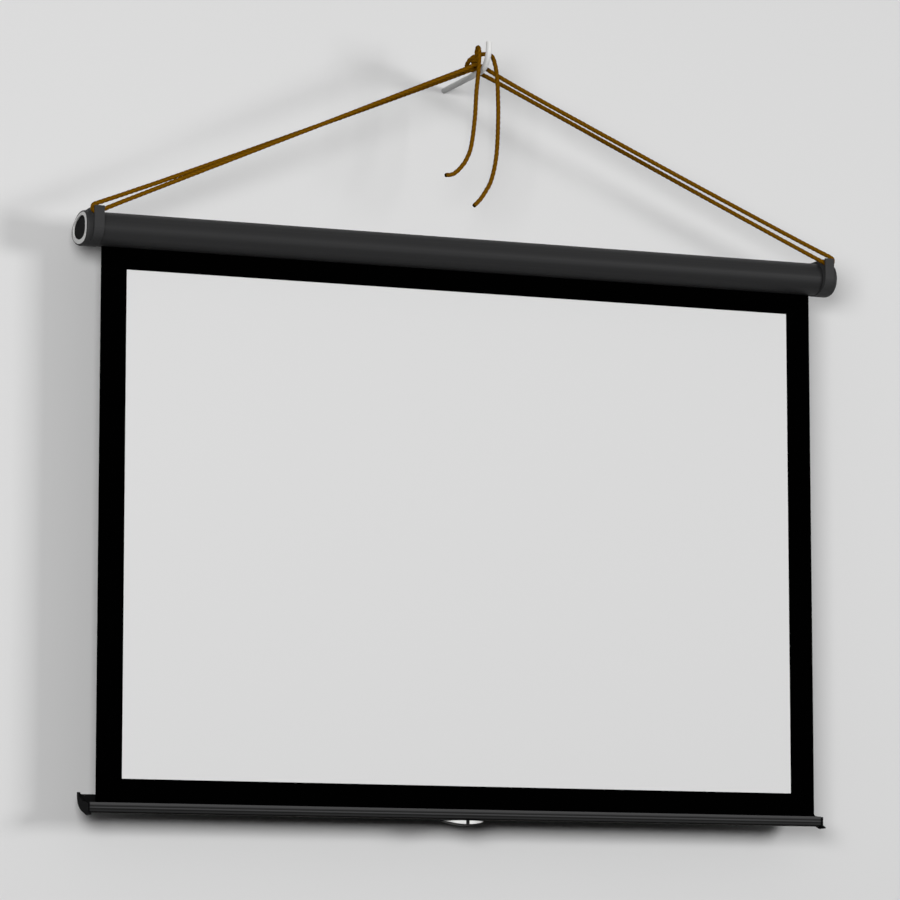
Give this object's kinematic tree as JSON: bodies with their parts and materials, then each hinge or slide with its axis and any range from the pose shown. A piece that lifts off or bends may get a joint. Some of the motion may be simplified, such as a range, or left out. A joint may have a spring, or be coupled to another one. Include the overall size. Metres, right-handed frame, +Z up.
{
  "type": "hanging pull-down projector screen",
  "caption": "Pull-down projector screen: a white viewing area with black borders rolls out of an egg-shaped case that hangs from a wall hook on a rope sling.",
  "frame": {"origin": "middle of the flat wall end of the hook's shank, where the hook leaves the wall", "axes": "+X along the case to the right of a person who faces the screen, +Y into the wall, +Z up"},
  "size_m": [1.7016, 0.2563, 1.6335],
  "materials": {
    "white_paint": "satin white paint",
    "brown_rope": "twisted fibre",
    "black_case": "satin black coating",
    "black_plastic": "fine matt",
    "light_trim": "satin light grey",
    "bright_steel": "plain",
    "bare_aluminium": "plain extruded",
    "black_cloth": "matt coated cloth",
    "nylon": "plain",
    "matt_white_screen": "matt white coating"
  },
  "bodies": {
    "case": {"wall_hook": "white_paint", "rope_left_loop": "brown_rope", "rope_right_loop": "brown_rope", "rope_knot": "brown_rope", "rope_tail_a": "brown_rope", "rope_tail_b": "brown_rope", "case_shell": "black_case", "left_end_cap": "black_plastic", "right_end_cap": "black_plastic", "left_cap_cover": "black_plastic", "right_cap_cover": "black_plastic", "left_cap_ring": "light_trim", "right_cap_ring": "light_trim", "left_cap_screw_1": "bright_steel", "left_cap_screw_2": "bright_steel", "left_cap_screw_3": "bright_steel", "right_cap_screw_1": "bright_steel", "right_cap_screw_2": "bright_steel", "right_cap_screw_3": "bright_steel", "idle_pin": "bright_steel", "spring_spindle": "bright_steel", "torsion_spring": "bright_steel", "ratchet_wheel": "bright_steel"},
    "roller": {"roller_tube": "bare_aluminium", "wound_sheet": "black_cloth", "idle_plug": "nylon", "ratchet_plug": "nylon", "drive_plug": "nylon"},
    "pawl": {"ratchet_pawl": "bright_steel"},
    "bar": {"backing_sheet": "black_cloth", "viewing_surface": "matt_white_screen", "hem_rod": "bright_steel", "bottom_bar": "black_case", "left_bar_plate": "black_plastic", "right_bar_plate": "black_plastic", "handle_frame": "black_plastic", "left_handle_pad": "light_trim", "right_handle_pad": "light_trim", "handle_screw_1": "bright_steel", "handle_screw_2": "bright_steel"}
  },
  "joints": [
    {"name": "screen_travel", "type": "slide", "parent": "case", "child": "bar", "axis": [0, 0, 1], "range_m": [0, 1.1297], "deforming": ["backing_sheet", "viewing_surface"]},
    {"name": "roller_spin", "type": "hinge", "parent": "case", "child": "roller", "pos_m": [0, -0.1459, -0.3798], "axis": [1, 0, 0], "range_deg": [0, 3155]},
    {"name": "pawl_swing", "type": "hinge", "parent": "roller", "child": "pawl", "pos_m": [0.8078, -0.1545, -0.36751], "axis": [1, 0, 0], "range_deg": [-11, 0]}
  ],
  "couplings": [
    {"joint": "roller_spin", "follows": "screen_travel", "rad_per_m": 48.666}
  ]
}
